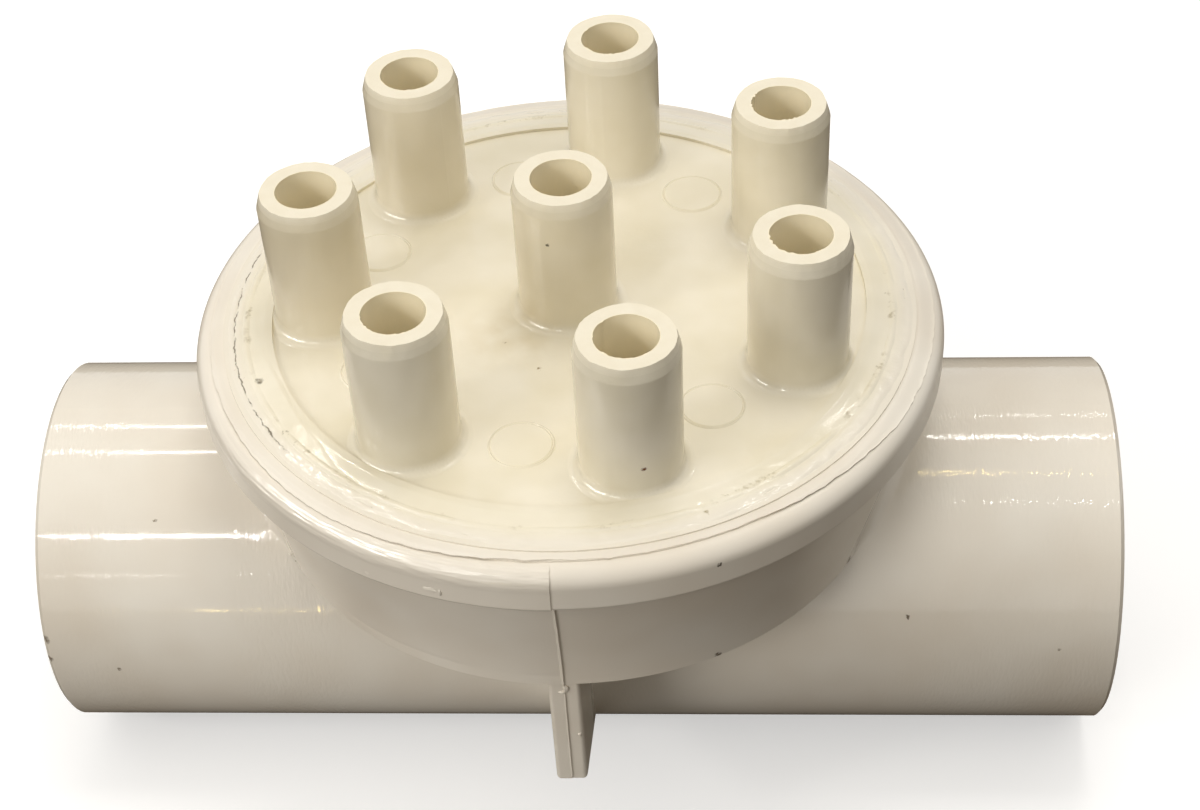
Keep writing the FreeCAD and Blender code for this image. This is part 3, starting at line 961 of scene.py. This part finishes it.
def lip_rule(centre, seed, burr):
    """Knife marks and burrs: an uneven outer edge, a wavering bevel and a ragged bore."""

    def rule(point):
        arm = (point - centre).to_2d()
        radius = arm.length
        around = (arm / radius * SPIGOT_RADIUS).to_3d()
        rise = smooth((point.z - BEVEL_FOOT) / BEVEL_HEIGHT)
        outside = smooth((radius - SPIGOT_BORE - 0.3) / 1.2)
        knife = 0.04 + 0.16 * ripple(around, 4.5, seed) + 0.14 * ripple(around, 1.2, seed + 3)
        trim = max(-0.005, knife)
        rags = max(0.0, 0.2 + ripple(around, 1.1, seed + 7))
        patches = smooth(0.5 + 2 * ripple(around, 6.0, seed + 8))
        near_top = smooth((point.z - SPIGOT_TOP + BURR_DEPTH) / BURR_DEPTH)
        at_front_left = smooth(0.5 - (arm.x + arm.y) / radius)
        rag = burr * rags * patches * (near_top * at_front_left)
        waver = 0.12 + 0.09 * ripple(around, 6.0, seed + 5) + 0.03 * ripple(arm.to_3d(), 0.9, seed + 6)
        radius += rise * (outside * trim - (1 - outside) * rag)
        place = centre.to_2d() + arm.normalized() * radius
        return place.x, place.y, point.z + rise ** 3 * waver

    return rule


def add_spigots(cream, trimmed):
    """Dress every spigot with its foot and its trimmed lip."""
    foot = model_spigot_foot()
    lip = model_spigot_lip()
    for number, (name, place) in enumerate(SPIGOTS.items()):
        finish_piece(copy_to(foot, f"foot_of_{name}", place), cream)
        end = copy_to(lip, f"lip_of_{name}", place)
        reshape(end, lip_rule(place, number * LIP_SEED, BURRS.get(name, 0.0)))
        finish_piece(end, trimmed, crease=30)
    for pattern in (foot, lip):
        bpy.data.objects.remove(pattern)


MARK_RADIUS = 6.2
MARK_RING = 41.5
MARK_DEPTH = 1.0
# How far the middle of the mark's disc lies under the crown
MARK_SINK = 0.48
# Steps from the mark's edge inwards: how far in and how far up
MARK_STEPS = ((0.25, 0.2), (0.2, -0.18), (0.2, 0.16))


def model_ejector_mark():
    """A round ejector mark: a low disc with a fine groove inside its edge."""
    mark = add_piece(bpy.ops.mesh.primitive_cylinder_add, "ejector_mark", vertices=64,
                     radius=MARK_RADIUS * MM, depth=MARK_DEPTH * MM,
                     location=(0, 0, (CROWN - MARK_SINK) * MM))
    bpy.ops.object.mode_set(mode="EDIT")
    select(mark, "FACE", upper_cap)
    for inwards, up in MARK_STEPS:
        bpy.ops.mesh.inset(thickness=inwards * MM, depth=up * MM)
    bpy.ops.object.mode_set(mode="OBJECT")
    return mark


def add_ejector_marks(material):
    """One mark half-way between each two neighbours of the ring of spigots."""
    mark = model_ejector_mark()
    ring = [place for place in SPIGOTS.values() if place.length > 1]
    for number, place in enumerate(ring, start=1):
        turn = math.atan2(place.y, place.x) + math.pi / len(ring)
        middle = Vector((math.cos(turn), math.sin(turn), 0)) * MARK_RING
        finish_piece(copy_to(mark, f"ejector_mark_{number}", middle), material, crease=15)
    bpy.data.objects.remove(mark)


# Rim: cement, flash and bead

def spun_ring(name, start, end, rings, steps):
    """A flat ring of narrow bands, grown outwards from a circle."""
    ring = add_piece(bpy.ops.mesh.primitive_circle_add, name, vertices=steps, radius=start * MM)
    bpy.ops.object.mode_set(mode="EDIT")
    select(ring, "EDGE", lambda edge: True)
    radius = start
    for _ in range(rings):
        wider = radius + (end - start) / rings
        extrude_up(0)
        widen(wider / radius)
        radius = wider
    bpy.ops.mesh.select_all(action="SELECT")
    bpy.ops.mesh.normals_make_consistent(inside=False)
    bpy.ops.object.mode_set(mode="OBJECT")
    return ring


def lid_height(radius):
    """Top of the lid's shoulder and of the filled groove beside it."""
    if radius < CROWN_RADIUS:
        return CROWN
    if radius < STEP_RADIUS:
        return CROWN + (STEP_TOP - CROWN) * (radius - CROWN_RADIUS) / (STEP_RADIUS - CROWN_RADIUS)
    if radius < RECESS_RADIUS:
        return STEP_TOP + (RIM_TOP - STEP_TOP) * (radius - STEP_RADIUS) / (RECESS_RADIUS - STEP_RADIUS)
    return RIM_TOP


# Where the smeared cement begins on the lid: angle round the cup in degrees, and radius
CEMENT_START = (
    (-180, 60.6), (-166, 58.8), (-151, 58.3), (-140, 58.9), (-130, 60.6), (-100, 60.8), (-75, 60.0),
    (-60, 59.2), (-48, 58.6), (-30, 60.0), (10, 60.8), (120, 60.8), (180, 60.6),
)
# How widely its edge there thins out
CEMENT_SOFT = ((-180, 2.0), (-168, 0.8), (-136, 0.8), (-124, 2.4), (150, 2.4), (180, 2.0))
CEMENT_END = 66.2
CEMENT_END_SOFT = 0.9
CEMENT_INNER_EDGE = 57.6
CEMENT_OUTER_EDGE = 67.2
CEMENT_THICKNESS = 0.7
# The least height of its film, and how far its edges dive
CEMENT_LEAST = 0.02
# The ridge over the lid's step, and the fuller cement outside it
RIDGE_RADIUS = 62.7
RIDGE_WIDTH = 0.45
FILL_START = 63.0
FILL_SOFT = 1.0
# The gap where it shrank, with the angles past which it is open and between which it is broken
GAP_RADIUS = 64.95
GAP_WIDTH = 0.2
GAP_DEPTH = 0.5
GAP_OPEN = (176, -170)
GAP_BROKEN = (-161, -136)


def gap_share(angle, around):
    """How open the cement's shrinkage gap is: open at the left, and broken in front of that."""
    if angle > GAP_OPEN[0] or angle < GAP_OPEN[1]:
        return 1.0
    if GAP_BROKEN[0] < angle < GAP_BROKEN[1]:
        return smooth(0.05 + 2.5 * ripple(around, 2.4, 17.0))
    return smooth(2.0 * ripple(around, 4.0, 19.0) - 0.5)


def cement_rule(point):
    """Height of the cement: thin at its edges, ridged over the lid's step, and open where it shrank."""
    radius = point.xy.length
    angle = math.degrees(math.atan2(point.y, point.x))
    flat = Vector((point.x, point.y, 0))
    start = along(CEMENT_START, angle) + 0.5 * ripple(flat, 5.0, 2.0)
    end = CEMENT_END + 0.5 * ripple(flat, 4.0, 4.0)
    spread = smooth((radius - start) / along(CEMENT_SOFT, angle)) * smooth((end - radius) / CEMENT_END_SOFT)
    film = 0.09 + 0.1 * ripple(flat, 5.0) + 0.07 * ripple(flat, 1.6, 3.0)
    film += hump(radius - RIDGE_RADIUS, RIDGE_WIDTH) * max(0.0, 0.2 + 0.35 * ripple(flat, 8.0, 7.0))
    film += smooth((radius - FILL_START) / FILL_SOFT) * (0.12 + 0.12 * ripple(flat, 2.2, 13.0))
    film = max(CEMENT_LEAST, film) * spread - CEMENT_LEAST * (1 - spread)
    from_gap = radius - GAP_RADIUS - 0.15 * ripple(flat, 3.0, 11.0)
    film -= GAP_DEPTH * hump(from_gap, GAP_WIDTH) * gap_share(angle, flat)
    return point.x, point.y, lid_height(radius) + film


def add_cement(material):
    """The uneven ring of cured cement, in place of the plain one."""
    ring = spun_ring("cement_ring", CEMENT_INNER_EDGE, CEMENT_OUTER_EDGE, rings=48, steps=540)
    reshape(ring, cement_rule)
    apply(ring, "SOLIDIFY", thickness=CEMENT_THICKNESS * MM, offset=-1)
    finish_piece(ring, material, crease=60)
    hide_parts("cement_bead")


# The flash on the rim: angle round the cup in degrees, and the radius of its outer and inner edge
FLASH_EDGE = (
    (-180, 69.8), (-150, 69.6), (-138, 70.2), (-124, 70.5), (-109, 69.8), (-97, 69.1), (-90, 68.9),
    (-60, 69.0), (-45, 69.6), (-38, 70.0), (-28, 70.6), (150, 70.6), (180, 69.8),
)
FLASH_START = (
    (-180, 66.2), (-132, 66.1), (-122, 64.4), (-112, 63.7), (-101, 64.0), (-94, 65.8), (-60, 66.0),
    (180, 66.2),
)
# How its outer edge meets the bead: 1 where it hangs over, and 0 where it runs smoothly into it
FLASH_HANG = (
    (-180, 0.5), (-168, 1.0), (-92, 1.0), (-86, 0.5), (-62, 0.5), (-50, 1.0), (-38, 0.9), (-28, 0.0),
    (150, 0.0), (180, 0.5),
)
FLASH_TURN = 67.6
FLASH_THICKNESS = 0.3
# How far it climbs on the cement, how steeply it falls, and how it sinks into the bead or clears it
FLASH_CLIMB = 0.2
FLASH_SLOPE = 0.4
FLASH_SINK = 0.08
FLASH_CLEAR = 0.14
# How far the visual bead stands off the solid one
BEAD_SKIN = 0.09


def bead_height(radius):
    """Top of the bead outside the land."""
    if radius < BEAD_TURN:
        return BEAD_CROWN
    return BEAD_CROWN - BEAD_ROUND + math.sqrt(max(0.0, BEAD_ROUND ** 2 - (radius - BEAD_TURN) ** 2))


def flash_rule(point):
    """Lay the flash over the land and let its edge hang raggedly on the bead."""
    share = (point.xy.length - RECESS_RADIUS) / (LAND_EDGE - RECESS_RADIUS)
    turn = math.atan2(point.y, point.x)
    angle = math.degrees(turn)
    around = Vector((math.cos(turn), math.sin(turn), 0)) * LAND_EDGE
    edge = along(FLASH_EDGE, angle) + 0.2 * ripple(around, 4.0) + 0.14 * ripple(around, 1.2, 5.0)
    start = along(FLASH_START, angle) + 0.35 * ripple(around, 3.0, 21.0)
    radius = start + share * (edge - start)
    hang = along(FLASH_HANG, angle)
    sheet = 0.06 + 0.05 * ripple(around * radius / LAND_EDGE, 3.0, 9.0)
    climb = FLASH_CLIMB * smooth((RECESS_RADIUS - radius) / 0.6)
    height = max(RIM_TOP, lid_height(radius) + climb) + sheet
    height -= (0.1 + 0.15 * hang) * max(0.0, 1 - share * (2.5 + 3.5 * hang))
    growth = proud(point.x)
    fall = smooth((radius - FLASH_TURN) / (edge - FLASH_TURN))
    laid = height + (bead_height(edge - growth) + BEAD_SKIN - FLASH_SINK - height) * fall
    if radius > LAND_EDGE:
        lowest = bead_height(radius - growth) + BEAD_SKIN + FLASH_CLEAR
        height = max(lowest, height - FLASH_SLOPE * (radius - LAND_EDGE))
    height = laid + hang * (height - laid)
    return math.cos(turn) * radius, math.sin(turn) * radius, height


def add_flash(material):
    """The thin, ragged flash that lies on the rim."""
    flash = spun_ring("rim_flash", RECESS_RADIUS, LAND_EDGE, rings=16, steps=900)
    reshape(flash, flash_rule)
    apply(flash, "SOLIDIFY", thickness=FLASH_THICKNESS * MM, offset=-1)
    finish_piece(flash, material, crease=50)


BEAD_INSIDE = 67.8
BEAD_LOWER_ROUND = 1.0
BEAD_DROP = 0.35
BEAD_TUCK = 0.15
BEAD_THICKNESS = 0.5
# Shares of the bead's section at which its flat top, its round, its wall and its lower round end
TOP_END = 0.1
ROUND_END = 0.6
WALL_END = 0.8
LOWER_ROUND_END = 0.95


def on_round(radius, height, size, facing):
    """A point of a round in the bead's section and the way it faces."""
    return radius + size * math.cos(facing), height + size * math.sin(facing), facing


def bead_profile(share):
    """A point of the bead's section and the way it faces, from under the flash round to its underside."""
    wall = BEAD_TURN + BEAD_ROUND
    upper = BEAD_CROWN - BEAD_ROUND
    inner = wall - BEAD_LOWER_ROUND
    lower = BEAD_UNDERSIDE - BEAD_DROP + BEAD_LOWER_ROUND
    if share < TOP_END:
        return BEAD_INSIDE + (BEAD_TURN - BEAD_INSIDE) * share / TOP_END, BEAD_CROWN, math.pi / 2
    if share < ROUND_END:
        facing = math.pi / 2 * (ROUND_END - share) / (ROUND_END - TOP_END)
        return on_round(BEAD_TURN, upper, BEAD_ROUND, facing)
    if share < WALL_END:
        return wall, upper + (lower - upper) * (share - ROUND_END) / (WALL_END - ROUND_END), 0.0
    if share < LOWER_ROUND_END:
        facing = -math.pi / 2 * (share - WALL_END) / (LOWER_ROUND_END - WALL_END)
        return on_round(inner, lower, BEAD_LOWER_ROUND, facing)
    under = (share - LOWER_ROUND_END) / (1 - LOWER_ROUND_END)
    return inner - under, BEAD_UNDERSIDE - BEAD_DROP * (1 - under) + BEAD_TUCK * under, -math.pi / 2


def bead_rule(side):
    """Sweep the bead's section round one mould half, with the left half proud and scraped."""

    def rule(point):
        turn = math.pi / 2 * point.x + (math.pi if side < 0 else 0.0)
        radius, height, facing = bead_profile(as_share(point.y))
        radius += proud(side)
        around = Vector((math.cos(turn), math.sin(turn), 0)) * radius
        place = Vector((around.x, around.y, height))
        skin = BEAD_SKIN + 0.03 * ripple(place, 6.0)
        if side < 0:
            on_top = smooth((facing - 0.2) / 0.4) * smooth((1.5 - facing) / 0.2)
            scraped = on_top * smooth((turn - 3.5) / 0.2)
            lines = Vector((turn * 4.0, height / 0.5, radius / 0.5))
            skin += scraped * (0.08 + 0.07 * ripple(lines, 1.0, 31.0) + 0.05 * ripple(place, 1.5, 33.0))
        outer = radius + skin * math.cos(facing)
        return math.cos(turn) * outer, math.sin(turn) * outer, height + skin * math.sin(facing)

    return rule


def add_bead(scraped, white):
    """The rounded bead, in its two mould halves."""
    for name, side, material in (("bead_left_half", -1, scraped), ("bead_right_half", 1, white)):
        half = sheet_piece(name, bead_rule(side), lambda place: (place.x, place.y, 20.0),
                           columns=300, rows=80, thickness=BEAD_THICKNESS)
        finish_piece(half, material, crease=50)


# Cup wall, mould lines and lumps

FLARE_HEIGHT = 17.0
SKIRT_FLARE = 1.05
SKIRT_CURVE = 2.5
SKIRT_START = math.radians(1.0)
SKIRT_DROP = 0.02
SKIRT_PROUD = 0.01
SKIRT_THICKNESS = 0.4
# A faint groove above the base of the left half
GROOVE_WIDTH = 0.45
GROOVE_DEPTH = 0.1


def skirt_radius(height, side):
    """The cup's wall with its base band eased into it, so that no edge shows above the base."""
    share = max(0.0, 1 - (height - CUP_BASE) / FLARE_HEIGHT)
    slope = (CUP_NECK_RADIUS - CUP_WAIST_RADIUS) / (BEAD_UNDERSIDE - CUP_BAND_TOP)
    wall = CUP_WAIST_RADIUS + slope * (height - CUP_BAND_TOP)
    return wall + proud(side) + SKIRT_FLARE * share ** SKIRT_CURVE


def skirt_rule(side, way):
    """A quarter of the cup's wall, from its base to the bead and from the run to the parting plane."""

    def rule(point):
        turn = SKIRT_START + as_share(point.x) * (math.pi / 2 - SKIRT_START)
        height = CUP_BASE - SKIRT_DROP + as_share(point.y) * (BEAD_UNDERSIDE - CUP_BASE)
        radius = skirt_radius(height, side) + SKIRT_PROUD
        if side < 0:
            groove = hump(height - CUP_BAND_TOP, GROOVE_WIDTH)
            radius -= GROOVE_DEPTH * groove * smooth(0.8 + ripple((turn * 40, 0, 0), 9.0, 71.0))
        return side * math.cos(turn) * radius, way * math.sin(turn) * radius, height

    return rule


def add_skirt(material):
    """The cup's wall, in four quarters drawn out smoothly to the base."""
    for face, way in FACES:
        for half, side in HALVES:
            skirt = sheet_piece(f"cup_skirt_{face}_{half}", skirt_rule(side, way),
                                lambda place: (place.x, place.y, 0),
                                columns=160, rows=64, thickness=SKIRT_THICKNESS)
            finish_piece(skirt, material, crease=50)


# Mould lines: width, rise and seed of the ridge on the cup and on the gussets
CUP_LINE = (0.6, 0.3, 40.0)
GUSSET_LINE = (0.45, 0.14, 50.0)
CUP_LINE_START = 0.3
GUSSET_LINE_MARGIN = 1
# The ridge: where its crest lies across it, the share of its width before the crest, how far its
# foot sinks on the proud half and beside it, and the lean of its steep side
LINE_CREST = 0.5
LINE_BEFORE = 0.8
LINE_SINK = 0.03
LINE_ROOT = 0.05
LINE_LEAN = 0.06
LINE_THICKNESS = 0.25


def cup_spine(way):
    """The parting line up the cup, at the front or the back."""

    def spine(share):
        height = CUP_BASE + CUP_LINE_START + share * (BEAD_UNDERSIDE - CUP_BASE - CUP_LINE_START)
        return Vector((0, way * skirt_radius(height, -1), height)), Vector((0, way, 0))

    return spine


def gusset_spine(way):
    """The parting line down a gusset, at the front or the back."""

    def spine(share):
        height = CUP_BASE - GUSSET_LINE_MARGIN - share * (GUSSET_DROP - 2 * GUSSET_LINE_MARGIN)
        reach = GUSSET_REACH - GUSSET_RAKE * (CUP_BASE - height) / GUSSET_DROP
        return Vector((0, way * (reach + MOULD_STEP), height)), Vector((0, way, 0))

    return spine


def ridge_piece(name, spine, width, rise, seed, material):
    """A ragged line of flash on the edge of the proud mould half, along a spine from 0 to 1."""

    def rule(point):
        place, out = spine(as_share(point.x))
        crest = 0.8 + 0.3 * ripple(place, 3.0, seed) + 0.2 * ripple(place, 0.8, seed + 2)
        crest = rise * max(0.1, crest)
        if point.y <= LINE_CREST:
            climb = (point.y + 1) / (LINE_CREST + 1)
            aside = width * (climb - LINE_BEFORE)
            level = climb * crest - LINE_SINK
        else:
            fall = (point.y - LINE_CREST) / (1 - LINE_CREST)
            aside = width * (1 - LINE_BEFORE) + LINE_LEAN * fall
            level = crest - LINE_SINK - fall * (crest + MOULD_STEP + LINE_ROOT)
        aside += 0.04 * ripple(place, 4.0, seed + 4)
        return place + Vector((aside, 0, 0)) + out * level

    ridge = sheet_piece(name, rule, lambda place: (0, place.y, 0), columns=110, rows=8,
                        thickness=LINE_THICKNESS)
    finish_piece(ridge, material, crease=60)


def add_mould_lines(material):
    """Flash along the mould's parting plane, down the cup and the gussets, front and back."""
    for face, way in FACES:
        ridge_piece(f"cup_mould_line_{face}", cup_spine(way), *CUP_LINE, material)
        ridge_piece(f"gusset_mould_line_{face}", gusset_spine(way), *GUSSET_LINE, material)


# Lumps left by the mould: place, half sizes, turn in degrees and seed
LUMPS = (
    ("gusset_lump", (0.3, -62.15, 22.7), (0.5, 0.4, 1.0), 0, 61.0),
    ("gusset_lump_low", (-0.4, -62.15, 21.8), (0.7, 0.3, 0.3), 0, 64.0),
    ("gusset_pimple", (2.2, -61.0, 8.0), (0.4, 0.25, 0.6), 0, 65.0),
    ("junction_nub", (-56.0, -29.2, 25.3), (0.5, 0.45, 0.5), 0, 66.0),
    ("bead_lump_left", (-21.2, -69.7, 58.3), (1.5, 0.3, 0.45), -16.9, 62.0),
    ("bead_lump_left_end", (-19.4, -70.2, 57.9), (0.35, 0.4, 0.8), -15.4, 63.0),
)


def add_lump(name, place, size, turn, seed, material):
    """A small lump of plastic with an uneven skin."""
    lump = add_piece(bpy.ops.mesh.primitive_ico_sphere_add, name, subdivisions=4, radius=MM)
    heading = Matrix.Rotation(math.radians(turn), 3, "Z")

    def rule(point):
        swell = 1 + 0.35 * ripple(point, 0.9, seed)
        arm = Vector([part * half * swell for part, half in zip(point, size)])
        return Vector(place) + heading @ arm

    reshape(lump, rule)
    finish_piece(lump, material, crease=60)


def add_lumps(material):
    """The lumps on the front gusset, the bead and the corner at the left."""
    for name, place, size, turn, seed in LUMPS:
        add_lump(name, place, size, turn, seed, material)


# Fillet between the cup and the run

JUNCTION_ROUND = 3.0
JUNCTION_LEAST = 0.8
JUNCTION_SKIN = 0.02
JUNCTION_LIFT = 0.1
# Angle round the run, in radians, over which the fillet grows from its ends
JUNCTION_GROWTH = 0.14
JUNCTION_THICKNESS = 0.5


def junction_rule(side):
    """Roll a ball along the corner: each point of a flat grid goes to the ball's near side."""
    lowest = math.asin((CUP_BASE + JUNCTION_LIFT) / RUN_RADIUS)

    def rule(point):
        turn = lowest + as_share(point.x) * (math.pi - 2 * lowest)
        from_end = min(turn - lowest, math.pi - lowest - turn)
        grown = smooth(from_end / JUNCTION_GROWTH)
        ball = JUNCTION_LEAST + (JUNCTION_ROUND - JUNCTION_LEAST) * grown
        reach = RUN_RADIUS + ball
        centre = Vector((0, -math.cos(turn) * reach, math.sin(turn) * reach))
        wall = skirt_radius(centre.z, side) + ball
        centre.x = side * math.sqrt(wall ** 2 - centre.y ** 2)
        to_run = Vector((0, -centre.y, -centre.z)).normalized()
        to_cup = Vector((-centre.x, -centre.y, 0)).normalized()
        across = to_run.slerp(to_cup, as_share(point.y))
        return centre + across * (ball + JUNCTION_SKIN)

    return rule


def add_junctions(material):
    """The fillet on each side of the cup, over the top of the run."""
    for half, side in HALVES:
        strip = sheet_piece(f"{half}_junction_fillet", junction_rule(side),
                            lambda place: (place.x, 0, place.z),
                            columns=160, rows=12, thickness=JUNCTION_THICKNESS)
        finish_piece(strip, material, crease=60)


def dress(node, material):
    """Give a CAD node one material."""
    data = frame["nodes"][node].data
    data.materials.clear()
    data.materials.append(material)


bpy.context.scene.view_settings.view_transform = "Standard"
add_camera()
add_light()
add_sky()
add_floor()
add_flag()
white = white_plastic()
cream = cream_plastic()
trimmed = trimmed_plastic()
cement = cured_cement()
scraped = scraped_plastic()
dress("manifold_body", white)
dress("port_lid", cream)
dress("cement_bead", cement)
add_spigots(cream, trimmed)
add_ejector_marks(cream)
add_cement(cement)
add_flash(white)
add_bead(scraped, white)
add_mould_lines(white)
add_lumps(white)
add_skirt(white)
add_junctions(white)
